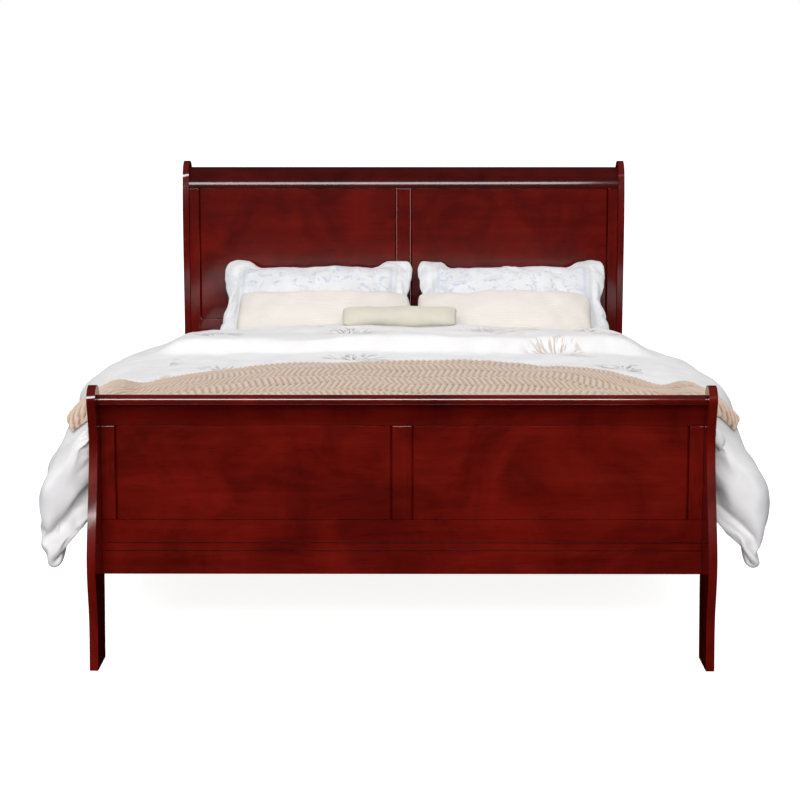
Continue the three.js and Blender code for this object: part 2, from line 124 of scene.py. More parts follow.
def grid_normals(grid):
    """Unit normals of a grid of points, pointing along d(row) x d(column)."""
    du = np.gradient(grid, axis=0)
    dv = np.gradient(grid, axis=1)
    n = np.cross(du, dv)
    return n / np.maximum(np.linalg.norm(n, axis=2, keepdims=True), 1e-9)


def blurred(values, times):
    """A grid of numbers averaged with its neighbours a number of times."""
    for _ in range(times):
        padded = np.pad(values, 1, mode="edge")
        values = (padded[:-2, 1:-1] + padded[2:, 1:-1] + padded[1:-1, :-2] + padded[1:-1, 2:]) / 4
    return values


def shell_mesh(upper, lower):
    """Vertices and faces of a closed shell between two grids that share their outer edge."""
    rows, cols = upper.shape[:2]
    verts = list(upper.reshape(-1, 3))
    top = np.arange(rows * cols).reshape(rows, cols)
    bottom = top.copy()
    for i in range(1, rows - 1):
        for j in range(1, cols - 1):
            bottom[i, j] = len(verts)
            verts.append(lower[i, j])
    faces = []
    for i in range(rows - 1):
        for j in range(cols - 1):
            faces.append((top[i, j], top[i + 1, j], top[i + 1, j + 1], top[i, j + 1]))
            faces.append((bottom[i, j], bottom[i, j + 1], bottom[i + 1, j + 1], bottom[i + 1, j]))
    return verts, [tuple(int(k) for k in f) for f in faces]


def tube_mesh(path, radius, sides=8):
    """A closed ring of tube that follows a closed path."""
    pts = np.array(path, float)
    ahead = np.roll(pts, -1, axis=0) - np.roll(pts, 1, axis=0)
    ahead /= np.linalg.norm(ahead, axis=1, keepdims=True)
    side = np.cross(ahead, (0.0, 0.0, 1.0))
    side /= np.maximum(np.linalg.norm(side, axis=1, keepdims=True), 1e-9)
    up = np.cross(side, ahead)
    verts, faces = [], []
    for i in range(len(pts)):
        for k in range(sides):
            angle = 2 * math.pi * k / sides
            verts.append(pts[i] + radius * (math.cos(angle) * side[i] + math.sin(angle) * up[i]))
    for i in range(len(pts)):
        for k in range(sides):
            a, b = i * sides + k, i * sides + (k + 1) % sides
            c, d = ((i + 1) % len(pts)) * sides + (k + 1) % sides, ((i + 1) % len(pts)) * sides + k
            faces.append((a, d, c, b))
    return verts, faces


def subdivided(piece, levels=1):
    modifier = piece.modifiers.new("fine", "SUBSURF")
    modifier.levels = modifier.render_levels = levels
    return piece


def simulate_cloth(piece, pressure, frames, grow, cap, pinned=None, bending=0.5, stiffness=12.0):
    """Inflates a closed mesh as cloth with a little spare fabric, then writes the result into the mesh."""
    start = coordinates(piece.data)
    modifier = piece.modifiers.new("cloth", "CLOTH")
    settings = modifier.settings
    settings.quality = 4
    settings.mass = 0.25
    settings.tension_stiffness = settings.compression_stiffness = stiffness
    settings.shear_stiffness = stiffness / 2
    settings.bending_stiffness = bending
    settings.use_pressure = True
    settings.uniform_pressure_force = pressure
    settings.shrink_min = -grow
    settings.effector_weights.gravity = 0
    if pinned is not None:
        group = piece.vertex_groups.new(name="pinned")
        for index, weight in pinned:
            group.add([index], weight, "REPLACE")
        settings.vertex_group_mass = "pinned"
        settings.pin_stiffness = 1.0
    modifier.point_cache.frame_start = 1
    modifier.point_cache.frame_end = frames
    for number in range(1, frames + 1):
        scene.frame_set(number)
    evaluated = piece.evaluated_get(bpy.context.evaluated_depsgraph_get())
    moved = coordinates(evaluated.data) - start
    far = np.maximum(np.linalg.norm(moved, axis=1, keepdims=True), 1e-9)
    piece.modifiers.remove(modifier)
    set_coordinates(piece.data, start + moved * np.minimum(1.0, cap / far))
    scene.frame_set(1)
    if pinned is not None:
        piece.vertex_groups.clear()


def finish_piece(piece, slot, *cad_nodes):
    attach(piece, BODY)
    if cad_nodes:
        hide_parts(*cad_nodes)


# ======================================================================
# Materials
# ======================================================================
def new_material(name, base_color, roughness, specular=0.5):
    material = bpy.data.materials.new(name)
    material.use_nodes = True
    shader = material.node_tree.nodes["Principled BSDF"]
    shader.inputs["Base Color"].default_value = (*base_color, 1)
    shader.inputs["Roughness"].default_value = roughness
    shader.inputs["Specular IOR Level"].default_value = specular
    return material, material.node_tree, shader


def add_node(tree, kind, inputs=None, **settings):
    made = tree.nodes.new(kind)
    for key, value in settings.items():
        setattr(made, key, value)
    for key, value in (inputs or {}).items():
        if isinstance(value, bpy.types.NodeSocket):
            tree.links.new(value, made.inputs[key])
        else:
            made.inputs[key].default_value = value
    return made


def object_coordinates(tree, scale=(1, 1, 1), rotation=(0, 0, 0)):
    place = add_node(tree, "ShaderNodeTexCoord")
    mapping = add_node(tree, "ShaderNodeMapping", {"Vector": place.outputs["Object"], "Scale": scale,
                                                   "Rotation": rotation})
    return mapping.outputs["Vector"]


def ramp(tree, factor, stops):
    made = add_node(tree, "ShaderNodeValToRGB", {"Fac": factor})
    elements = made.color_ramp.elements
    while len(elements) < len(stops):
        elements.new(0.5)
    for element, (position, color) in zip(elements, stops):
        element.position = position
        element.color = (*color, 1)
    return made.outputs["Color"]


def mix_color(tree, factor, a, b, blend="MIX"):
    made = add_node(tree, "ShaderNodeMix", data_type="RGBA", blend_type=blend)
    for socket, value in ((made.inputs[0], factor), (made.inputs[6], a), (made.inputs[7], b)):
        if isinstance(value, bpy.types.NodeSocket):
            tree.links.new(value, socket)
        elif isinstance(value, tuple):
            socket.default_value = (*value, 1)
        else:
            socket.default_value = value
    return made.outputs[2]


def maths(tree, operation, a, b=0.0, c=0.0):
    made = add_node(tree, "ShaderNodeMath", operation=operation)
    for socket, value in zip(made.inputs, (a, b, c)):
        if isinstance(value, bpy.types.NodeSocket):
            tree.links.new(value, socket)
        else:
            socket.default_value = value
    return made.outputs[0]


def noise_at(tree, vector, scale, detail=4.0, roughness=0.5, distortion=0.0):
    made = add_node(tree, "ShaderNodeTexNoise", {"Vector": vector, "Scale": scale, "Detail": detail,
                                                 "Roughness": roughness, "Distortion": distortion})
    return made.outputs["Fac"]


def bump(tree, shader, height, strength, distance):
    made = add_node(tree, "ShaderNodeBump", {"Height": height, "Strength": strength, "Distance": distance})
    tree.links.new(made.outputs["Normal"], shader.inputs["Normal"])


GRAIN_STRETCH = 14.0  # how much longer a grain streak is than it is wide


def grain_scale(axis, across):
    """Mapping scale for streaks that run along one axis."""
    scale = [across, across, across]
    scale["xyz".index(axis)] = across / GRAIN_STRETCH
    return tuple(scale)


def cherry_material(axis, tone=1.0, gloss=0.9):
    """Dark red stained cherry with its grain along one axis, under a clear gloss lacquer."""
    material, tree, shader = new_material(f"cherry_grain_{axis}", (0.16, 0.01, 0.006), 0.34, 0.06)
    streaks = noise_at(tree, object_coordinates(tree, grain_scale(axis, 26.0)), 1.0, 6.0, 0.62, 0.6)
    pores = noise_at(tree, object_coordinates(tree, grain_scale(axis, 240.0)), 1.0, 2.0, 0.5)
    mottle = noise_at(tree, object_coordinates(tree, (5.5, 5.5, 5.5)), 1.0, 4.0, 0.6, 0.8)
    grain = ramp(tree, streaks, [(0.28, (0.090, 0.0032, 0.0016)), (0.5, (0.108, 0.0042, 0.0021)),
                                 (0.74, (0.128, 0.0055, 0.0028))])
    cloud = ramp(tree, mottle, [(0.32, (0.66, 0.56, 0.54)), (0.68, (1.32, 1.20, 1.10))])
    stained = mix_color(tree, 1.0, grain, cloud, "MULTIPLY")
    pore_mask = ramp(tree, pores, [(0.30, (0.72, 0.68, 0.68)), (0.42, (1.0, 1.0, 1.0))])
    stained = mix_color(tree, 0.8, stained, pore_mask, "MULTIPLY")
    # A tone below 1 darkens the whole colour and makes a shaded copy of the same cherry: painted shade
    stained = mix_color(tree, 1.0, stained, (tone, tone, tone), "MULTIPLY")
    tree.links.new(stained, shader.inputs["Base Color"])
    rough = add_node(tree, "ShaderNodeMapRange", {"Value": streaks, "To Min": 0.28, "To Max": 0.42})
    tree.links.new(rough.outputs["Result"], shader.inputs["Roughness"])
    shader.inputs["Coat Weight"].default_value = gloss
    shader.inputs["Coat Roughness"].default_value = 0.09
    shader.inputs["Coat IOR"].default_value = 1.65
    bump(tree, shader, pores, 0.06, 0.0006)
    return material


def pine_material():
    material, tree, shader = new_material("slat_pine", (0.6, 0.42, 0.24), 0.75, 0.3)
    streaks = noise_at(tree, object_coordinates(tree, grain_scale("x", 34.0)), 1.0, 4.0, 0.6, 1.2)
    color = ramp(tree, streaks, [(0.3, (0.46, 0.30, 0.15)), (0.6, (0.66, 0.48, 0.28)),
                                 (0.8, (0.74, 0.57, 0.36))])
    tree.links.new(color, shader.inputs["Base Color"])
    bump(tree, shader, streaks, 0.2, 0.001)
    return material


def zinc_material():
    material, tree, shader = new_material("zinc_steel", (0.62, 0.64, 0.66), 0.38)
    shader.inputs["Metallic"].default_value = 0.9
    spangle = noise_at(tree, object_coordinates(tree, (60, 60, 60)), 1.0, 3.0)
    rough = add_node(tree, "ShaderNodeMapRange", {"Value": spangle, "To Min": 0.28, "To Max": 0.5})
    tree.links.new(rough.outputs["Result"], shader.inputs["Roughness"])
    return material


def plastic_material():
    material, tree, shader = new_material("glide_plastic", (0.02, 0.02, 0.02), 0.45)
    grain = noise_at(tree, object_coordinates(tree, (900, 900, 900)), 1.0, 2.0)
    bump(tree, shader, grain, 0.25, 0.0003)
    return material


def weave_height(tree, thread, rotation=(0, 0, 0)):
    """Height of a plain weave whose threads are about thread metres apart, the same in every direction."""
    place = object_coordinates(tree, (1, 1, 1), rotation)
    parts = add_node(tree, "ShaderNodeSeparateXYZ", {"Vector": place})
    turn = 2 * math.pi / thread
    lines = [maths(tree, "SINE", maths(tree, "MULTIPLY", parts.outputs[k], turn)) for k in range(3)]
    return maths(tree, "ADD", maths(tree, "ADD", lines[0], lines[1]), lines[2])


def cotton_material(name, color, thread=0.0012, sheen=0.25, strength=0.25):
    material, tree, shader = new_material(name, color, 0.85, 0.2)
    shader.inputs["Sheen Weight"].default_value = sheen
    shader.inputs["Sheen Roughness"].default_value = 0.5
    soft = noise_at(tree, object_coordinates(tree, (18, 18, 18)), 1.0, 3.0)
    tint = ramp(tree, soft, [(0.3, tuple(0.93 * c for c in color)), (0.7, color)])
    tree.links.new(tint, shader.inputs["Base Color"])
    creases = noise_at(tree, object_coordinates(tree, (90, 90, 90)), 1.0, 4.0)
    height = maths(tree, "ADD", maths(tree, "MULTIPLY", weave_height(tree, thread), 0.2), creases)
    bump(tree, shader, height, strength, 0.0012)
    return material, tree, shader, tint


SPRIG_SPACING = 0.30
SPRIG_DIRECTION = 1.1  # the middle of a sprig's fan, in radians from X
SPRIG_STRENGTH = 0.88
GREY_INK = (0.16, 0.16, 0.17)
BEIGE_INK = (0.42, 0.33, 0.24)


def duvet_material():
    """White cotton whose top has scattered sprigs: strokes that fan out from a point, grey or beige."""
    material, tree, shader, tint = cotton_material("duvet_cotton", (0.83, 0.82, 0.825))
    place = object_coordinates(tree, (1 / SPRIG_SPACING,) * 3)
    cells = add_node(tree, "ShaderNodeTexVoronoi", {"Vector": place, "Scale": 1.0}, voronoi_dimensions="2D")
    local = add_node(tree, "ShaderNodeVectorMath", {0: place, 1: cells.outputs["Position"]},
                     operation="SUBTRACT")
    parts = add_node(tree, "ShaderNodeSeparateXYZ", {"Vector": local.outputs["Vector"]})
    angle = maths(tree, "ARCTAN2", parts.outputs["Y"], parts.outputs["X"])
    chance = add_node(tree, "ShaderNodeSeparateColor", {"Color": cells.outputs["Color"]})
    fan = add_node(tree, "ShaderNodeCombineXYZ", {
        "X": maths(tree, "MULTIPLY", angle, 5.5),
        "Y": maths(tree, "MULTIPLY", cells.outputs["Distance"], 3.0),
        "Z": maths(tree, "MULTIPLY", chance.outputs["Red"], 9.0)})
    ragged = noise_at(tree, fan.outputs["Vector"], 1.6, 3.0, 0.6)
    strokes = ramp(tree, ragged, [(0.50, (0, 0, 0)), (0.56, (1, 1, 1))])
    reach = ramp(tree, cells.outputs["Distance"], [(0.02, (0, 0, 0)), (0.08, (1, 1, 1)),
                                                   (0.26, (0.8, 0.8, 0.8)), (0.46, (0, 0, 0))])
    off_middle = maths(tree, "SUBTRACT", angle, SPRIG_DIRECTION)
    opening = maths(tree, "GREATER_THAN", maths(tree, "COSINE", off_middle), 0.1)
    chosen = maths(tree, "GREATER_THAN", chance.outputs["Green"], 0.25)
    in_metres = add_node(tree, "ShaderNodeSeparateXYZ", {"Vector": object_coordinates(tree, (1, 1, 1))})
    across = maths(tree, "ABSOLUTE", in_metres.outputs["X"])
    on_top = maths(tree, "LESS_THAN", across, HALF_MATTRESS - 0.05)
    shown = maths(tree, "MULTIPLY", opening, maths(tree, "MULTIPLY", chosen, on_top))
    mask = maths(tree, "MULTIPLY", mix_color(tree, 1.0, strokes, reach, "MULTIPLY"), shown)
    ink = mix_color(tree, maths(tree, "GREATER_THAN", chance.outputs["Blue"], 0.5), GREY_INK, BEIGE_INK)
    seam = add_node(tree, "ShaderNodeAttribute", attribute_name="seam")
    hemmed = mix_color(tree, maths(tree, "MULTIPLY", seam.outputs["Fac"], 0.35), tint, (0.62, 0.56, 0.48))
    printed = mix_color(tree, maths(tree, "MULTIPLY", mask, SPRIG_STRENGTH), hemmed, ink)
    tree.links.new(printed, shader.inputs["Base Color"])
    return material


def toile_material():
    """White quilted cotton with pale blue scrolled patches and a blue frame line, the border attribute."""
    color = (0.83, 0.835, 0.845)
    material, tree, shader, tint = cotton_material("sham_toile", color, 0.0014)
    blotch = noise_at(tree, object_coordinates(tree, (17, 17, 17)), 1.0, 3.0, 0.55, 1.6)
    fine = noise_at(tree, object_coordinates(tree, (75, 75, 75)), 1.0, 3.0, 0.6, 1.0)
    patches = ramp(tree, blotch, [(0.50, (0, 0, 0)), (0.60, (1, 1, 1))])
    lines = ramp(tree, fine, [(0.42, (0, 0, 0)), (0.56, (1, 1, 1))])
    scrolls = mix_color(tree, 1.0, patches, lines, "MULTIPLY")
    border = add_node(tree, "ShaderNodeAttribute", attribute_name="border")
    inside = add_node(tree, "ShaderNodeAttribute", attribute_name="inside")
    edge = maths(tree, "MULTIPLY", border.outputs["Fac"], 0.6)
    density = maths(tree, "MULTIPLY_ADD", inside.outputs["Fac"], 0.42, 0.20)
    strength = maths(tree, "MAXIMUM", maths(tree, "MULTIPLY", scrolls, density), edge)
    printed = mix_color(tree, strength, tint, (0.43, 0.51, 0.68))
    tree.links.new(printed, shader.inputs["Base Color"])
    return material


def ribbed_material():
    """Cream cotton with fine ribs along its width."""
    color = (0.80, 0.755, 0.70)
    material, tree, shader, tint = cotton_material("cream_ribbed", color, 0.0013)
    ribs = add_node(tree, "ShaderNodeAttribute", attribute_name="rib")
    turned = maths(tree, "SINE", maths(tree, "MULTIPLY", ribs.outputs["Fac"], 2 * math.pi))
    # The troughs between the ribs are painted darker, following the same wave as the bump: painted shade
    colour_with_painted_hollow_shade = ramp(tree, maths(tree, "MULTIPLY_ADD", turned, 0.5, 0.5),
                 [(0.0, (0.70, 0.65, 0.58)), (0.6, color)])
    tree.links.new(mix_color(tree, 0.35, tint, colour_with_painted_hollow_shade), shader.inputs["Base Color"])
    bump(tree, shader, turned, 0.3, 0.0012)
    return material


def linen_material():
    return cotton_material("sage_linen", (0.68, 0.65, 0.55), 0.0018, 0.3, 0.5)[0]


def knit_material():
    color = (0.56, 0.44, 0.32)
    material, tree, shader = new_material("tan_knit", color, 0.95, 0.15)
    shader.inputs["Sheen Weight"].default_value = 0.35
    depth = add_node(tree, "ShaderNodeAttribute", attribute_name="loft")
    yarn = noise_at(tree, object_coordinates(tree, (260, 260, 260)), 1.0, 3.0)
    # Tan yarn colour on the raised stitches, painted darker in the knit's low hollows and holes: painted
    # shade
    colour_with_painted_hollow_shade = ramp(tree, depth.outputs["Fac"], [(0.10, (0.13, 0.08, 0.052)), (0.50, (0.38, 0.265, 0.19)),
                                              (0.92, (0.64, 0.48, 0.37))])
    tree.links.new(mix_color(tree, 0.25, colour_with_painted_hollow_shade, ramp(tree, yarn, [(0.3, (0.33, 0.24, 0.17)),
                                                                  (0.7, (0.68, 0.54, 0.42))])),
                   shader.inputs["Base Color"])
    bump(tree, shader, yarn, 0.5, 0.0015)
    return material


def ticking_material(name, color):
    return cotton_material(name, color, 0.0016, 0.15, 0.4)[0]


# ======================================================================
# The CAD frame: bevelled edges and a finish for each node
# ======================================================================
GRAIN_OF = {"post": "z", "stile": "z", "mullion": "z", "side_rail": "y"}  # everything else runs along X
SOFT_NODES = {"duvet", "throw", "mattress", "foundation", "lumbar_pillow",
              "sham_left", "sham_right", "pillow_left", "pillow_right"}
SHARP_NODES = {"footboard_bead", "footboard_bottom_rail"}  # thin grooves that a bevel would close


def soften_edges(piece, width):
    piece.data.polygons.foreach_set("use_smooth", [True] * len(piece.data.polygons))
    weld = piece.modifiers.new("weld", "WELD")
    weld.merge_threshold = 0.00002
    bevel = piece.modifiers.new("edges", "BEVEL")
    bevel.width = width
    bevel.segments = 3
    bevel.limit_method = "ANGLE"
    bevel.angle_limit = math.radians(35)
    normals = piece.modifiers.new("normals", "WEIGHTED_NORMAL")
    normals.weight = 100


def dress_frame():
    cherry = {axis: cherry_material(axis) for axis in "xyz"}
    # Darker copies of the same cherry for the two crest rails are painted shade; the headboard's copy also
    # has less gloss
    head_crest_painted_shade_cherry = cherry_material("x", tone=0.48, gloss=0.5)
    foot_crest_painted_shade_cherry = cherry_material("x", tone=0.8)
    pine, zinc, plastic = pine_material(), zinc_material(), plastic_material()
    for name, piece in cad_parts.items():
        if name in SOFT_NODES:
            continue
        if name.startswith(("slat", "centre_leg")):
            material, edge = pine, 0.0015
        elif "bracket" in name or "bolt" in name:
            material, edge = zinc, 0.0004
        elif "glide" in name:
            material, edge = plastic, 0.0006
        else:
            axis = next((a for key, a in GRAIN_OF.items() if key in name), "x")
            material, edge = cherry[axis], 0.0035 if "post" in name else 0.0022
        # The crest rails take the darker cherry copies, which are painted shade
        if name == "headboard_crest_rail":
            material = head_crest_painted_shade_cherry
        if name == "footboard_crest_rail":
            material = foot_crest_painted_shade_cherry
        piece.data.materials.clear()
        piece.data.materials.append(material)
        if name not in SHARP_NODES:
            soften_edges(piece, edge)


# ======================================================================
# Bedding
# ======================================================================
def rounded_rectangle(half_x, half_y, corner, count):
    """Points round a rectangle with round corners, evenly spaced, starting on the right."""
    points = []
    for k, (cx, cy) in enumerate(((1, 1), (-1, 1), (-1, -1), (1, -1))):
        for t in np.linspace(0, math.pi / 2, 12):
            angle = t + k * math.pi / 2
            points.append((cx * (half_x - corner) + corner * math.cos(angle),
                           cy * (half_y - corner) + corner * math.sin(angle)))
    points.append(points[0])
    pts = np.array(points)
    along = np.concatenate([[0], np.cumsum(np.linalg.norm(np.diff(pts, axis=0), axis=1))])
    at = np.linspace(0, along[-1], count, endpoint=False)
    return np.stack([np.interp(at, along, pts[:, k]) for k in range(2)], axis=1)


def soft_block(name, low, high, corner, bulge, quilt, material, count=240, levels=9):
    """A mattress-like block: bulging walls between two piped edges, and a quilted top and bottom."""
    centre = (low + high) / 2
    half = (high - low) / 2
    inset = bulge + 0.002
    ring = rounded_rectangle(half.x - inset, half.y - inset, corner, count)
    outward = ring / np.linalg.norm(ring / (half.x, half.y), axis=1, keepdims=True)
    outward /= np.linalg.norm(outward, axis=1, keepdims=True)
    verts, faces = [], []
    wall = np.linspace(-1, 1, levels)
    for w in wall:
        puff = bulge * (1 - w * w)
        z = centre.z + w * (half.z - 0.006)
        verts.extend(np.column_stack([ring + outward * puff, np.full(count, z)]))
    for r in range(levels - 1):
        for i in range(count):
            j = (i + 1) % count
            faces.append((r * count + i, r * count + j, (r + 1) * count + j, (r + 1) * count + i))
    rings = 46
    for sign in (1, -1):
        last = (levels - 1) * count if sign > 0 else 0
        for k in range(1, rings):
            share = 1 - k / rings
            flat = ring * share
            tuft = np.abs(np.sin(flat[:, 0] * math.pi / quilt) * np.sin(flat[:, 1] * math.pi / quilt))
            crown = 0.006 * min(1.0, k / 3) * np.sqrt(tuft)
            z = centre.z + sign * (half.z - 0.006 + crown * 0.9)
            start = len(verts)
            verts.extend(np.column_stack([flat, z]))
            for i in range(count):
                j = (i + 1) % count
                quad = (last + i, last + j, start + j, start + i)
                faces.append(quad if sign > 0 else quad[::-1])
            last = start
        middle = len(verts)
        verts.append(np.array((0, 0, centre.z + sign * (half.z - 0.006))))
        for i in range(count):
            tri = (last + i, last + (i + 1) % count, middle)
            faces.append(tri if sign > 0 else tri[::-1])
    placed = [np.array(v) + (centre.x, centre.y, 0) for v in verts]
    block = make_object(name, placed, faces, material)
    pipes = []
    for sign in (1, -1):
        path = np.column_stack([ring * 1.001 + (centre.x, centre.y),
                                np.full(count, centre.z + sign * (half.z - 0.008))])
        v, f = tube_mesh(path, 0.005)
        pipes.append(make_object(f"{name}_piping_{'top' if sign > 0 else 'bottom'}", v, f, material))
    return block, pipes


def make_mattress():
    ticking = ticking_material("mattress_ticking", (0.83, 0.82, 0.80))
    block, pipes = soft_block("mattress_soft", MATTRESS_LOW, MATTRESS_HIGH,
                              corner=0.07, bulge=0.006, quilt=0.16, material=ticking)
    finish_piece(block, "mattress_ticking", "mattress")
    for pipe in pipes:
        finish_piece(pipe, "mattress_ticking")
    cover = ticking_material("foundation_cover", (0.74, 0.72, 0.68))
    base, pipes = soft_block("foundation_soft", FOUNDATION_LOW, FOUNDATION_HIGH,
                             corner=0.07, bulge=0.001, quilt=0.5, material=cover)
    finish_piece(base, "foundation_cover", "foundation")
    for pipe in pipes:
        finish_piece(pipe, "foundation_cover")


# ---- Duvet ----
DUVET_THICKNESS = 0.050
FOLD_START = DUVET_HIGH.y - 0.37
FOLD_RISE = 0.042
HEM_HEIGHT = DUVET_LOW.z + 0.008
HEM_LIFT = 0.10  # how far the hem rises behind each hanging corner
TOP = MATTRESS_TOP + 0.046
ROW_STEP = 0.0155  # about the spacing of the duvet grid's rows and columns
COLUMN_STEP = 0.0148
SHOULDER_PUFF = 0.042  # how far each shoulder swells out behind the throw's foot edge
CORNER_CREASE = 0.040
HANGING_FOLD = 0.055  # depth of the wide and the narrow hanging folds
HANGING_RIPPLE = 0.022


def section(points):
    """Right half of a duvet cross-section, as distances out from the centre line and up from the floor."""
    return curve_through([(0.0, TOP + 0.004), (HALF_MATTRESS / 2, TOP + 0.003), *points], 90)


FOOT_SECTION = section([
    (HALF_MATTRESS - 0.03, TOP - 0.006), (DUVET_REACH - 0.205, TOP - 0.030),
    (DUVET_REACH - 0.160, TOP - 0.062), (DUVET_REACH - 0.105, TOP - 0.118),
    (DUVET_REACH - 0.055, TOP - 0.172), (DUVET_REACH - 0.045, TOP - 0.210),
    (DUVET_REACH - 0.045, TOP - 0.30), (DUVET_REACH - 0.052, HEM_HEIGHT),
])
MIDDLE_SECTION = section([
    (HALF_MATTRESS - 0.06, TOP - 0.006), (DUVET_REACH - 0.13, TOP - 0.028),
    (DUVET_REACH - 0.045, TOP - 0.066), (DUVET_REACH - 0.015, TOP - 0.12),
    (DUVET_REACH - 0.040, TOP - 0.20), (DUVET_REACH - 0.062, TOP - 0.29),
    (DUVET_REACH - 0.072, HEM_HEIGHT),
])
HEAD_SECTION = section([
    (HALF_MATTRESS - 0.04, TOP - 0.006), (DUVET_REACH - 0.15, TOP - 0.034),
    (DUVET_REACH - 0.06, TOP - 0.070), (DUVET_REACH - 0.040, TOP - 0.12),
    (DUVET_REACH - 0.060, TOP - 0.20), (DUVET_REACH - 0.082, TOP - 0.29),
    (DUVET_REACH - 0.095, HEM_HEIGHT),
])


def duvet_points(span, y):
    """Points on the duvet's smooth outer surface: span runs from -1 at the left hem to 1 at the right one."""
    index = np.arange(len(FOOT_SECTION))
    share = np.abs(span) * index[-1]
    foot, middle, head = (np.stack([np.interp(share, index, half[:, k]) for k in range(2)], axis=-1)
                          for half in (FOOT_SECTION, MIDDLE_SECTION, HEAD_SECTION))
    from_foot = (y - DUVET_LOW.y) / (DUVET_HIGH.y - DUVET_LOW.y)
    to_middle = smoothstep((from_foot - 0.28) / 0.37)[..., None]
    to_head = smoothstep((from_foot - 0.7) / 0.3)[..., None]
    point = (foot * (1 - to_middle) + middle * to_middle) * (1 - to_head) + head * to_head
    return np.stack([point[..., 0] * np.sign(span), y, point[..., 1]], axis=-1)


def duvet_surface(rows, columns):
    """A grid of outer surface points: rows from the left hem to the right one, columns from foot to head."""
    y = np.linspace(DUVET_LOW.y + 0.006, DUVET_HIGH.y - 0.004, columns)
    span = np.linspace(-1, 1, rows)
    return duvet_points(*np.meshgrid(span, y, indexing="ij"))


CORNER_COLUMNS = 14  # grid columns that turn the foot end in across the front of each hanging corner
CORNER_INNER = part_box("side_rail_right")[1].x + 0.008  # the corner's cloth stops just outside the rail


def add_foot_corners(grid):
    """Extra columns at the foot: each side turns in towards the rail and the top edge rolls down a little."""
    edge = grid[:, :1]
    x, z = np.abs(edge[..., 0]), edge[..., 2]
    t = np.linspace(1, 1 / CORNER_COLUMNS, CORNER_COLUMNS)[None, :]
    hangs = smoothstep((x - CORNER_INNER) / 0.02)
    lifted = HEM_HEIGHT + 0.15 + (z - HEM_HEIGHT) * 0.53
    inner_z = np.where(x > CORNER_INNER, lifted, z - 0.02)
    new_x = x + (np.minimum(x, CORNER_INNER) - x) * t
    new_z = z + (inner_z - z) * t
    bulge = 0.022 * np.sin(math.pi * np.sqrt(t)) * hangs
    valley = np.exp(-((new_z - HEM_HEIGHT - 0.07 - 0.14 * t) / 0.028) ** 2)
    crease = CORNER_CREASE * valley * smoothstep(t / 0.35)
    crease = (crease + 0.010 * np.sin(14 * t + 20 * new_z) * t) * hangs
    new_y = edge[..., 1] - bulge + crease + 0.004 * (1 - hangs) * t
    corner = np.stack([new_x * np.sign(edge[..., 0]), new_y, new_z], axis=-1)
    return np.concatenate([corner, grid], axis=1)


def rounded_off(grid, times):
    return np.stack([blurred(grid[..., k], times) for k in range(3)], axis=-1)


def add_folds(grid):
    """Hanging folds that deepen towards the hem, drifting wrinkles on top, and the folded-back head end."""
    normals = grid_normals(grid)
    drop = np.clip((TOP - 0.05 - grid[..., 2]) / (TOP - 0.05 - HEM_HEIGHT), 0, 1)
    side = np.sign(grid[..., 0])
    run = grid[..., 1] + 0.16 * drop * side
    along = np.stack([run * 3.6, drop * 0.9 + side * 5.0, np.zeros_like(run)], axis=-1)
    hang = waves(along, 1.0, 2.0, 2) * HANGING_FOLD + waves(along * 2.3, 1.0, 6.0, 2) * HANGING_RIPPLE
    at_foot = smoothstep((grid[..., 1] - DUVET_LOW.y - 0.02) / 0.25)
    folds = hang * smoothstep(drop * 1.1) * (0.25 + 0.75 * at_foot)
    flat = np.stack([grid[..., 0] * 0.8 + grid[..., 1] * 0.5, grid[..., 1] * 1.3 - grid[..., 0] * 0.4,
                     grid[..., 2]], axis=-1)
    top = waves(flat, 0.30, 1.0, 3) * 0.012 - np.abs(waves(flat, 0.14, 4.0, 2)) * 0.008
    behind_corner = smoothstep((grid[..., 1] - THROW_LOW.y + 0.01) / 0.07)
    behind_corner = behind_corner * (1 - smoothstep((grid[..., 1] - THROW_LOW.y - 0.30) / 0.40))
    shoulder = np.exp(-((grid[..., 2] - TOP + 0.055) / 0.06) ** 2)
    beside_mattress = smoothstep((np.abs(grid[..., 0]) - HALF_MATTRESS + 0.03) / 0.06)
    puff = SHOULDER_PUFF * behind_corner * shoulder * beside_mattress
    fold_back = smoothstep((grid[..., 1] - FOLD_START) / 0.035)
    middle = smoothstep((HALF_MATTRESS + 0.04 - np.abs(grid[..., 0])) / 0.12)
    rolled = 1 + 0.25 * waves(flat, 0.3, 9.0, 2)
    out = grid + normals * (folds + top + puff)[..., None]
    past_corner = smoothstep((grid[..., 1] - DUVET_LOW.y - 0.03) / 0.12)
    past_corner = past_corner * (1 - smoothstep((grid[..., 1] - DUVET_LOW.y - 0.55) / 0.40))
    out[..., 2] += HEM_LIFT * past_corner * drop**3
    out[..., 2] += FOLD_RISE * fold_back * middle * rolled
    out[..., 0] = np.clip(out[..., 0], -DUVET_REACH - 0.04, DUVET_REACH + 0.04)
    return out


def edge_taper(rows, columns, spacing_u, spacing_v, reach):
    """0 on the outer edge of a grid, rising in a quarter circle to 1 at reach metres inside it."""
    u = np.minimum(np.arange(rows), np.arange(rows)[::-1]) * spacing_u
    v = np.minimum(np.arange(columns), np.arange(columns)[::-1]) * spacing_v
    near = np.minimum(u[:, None], v[None, :]) / reach
    near = np.clip(near, 0, 1)
    return np.sqrt(1 - (1 - near) ** 2)


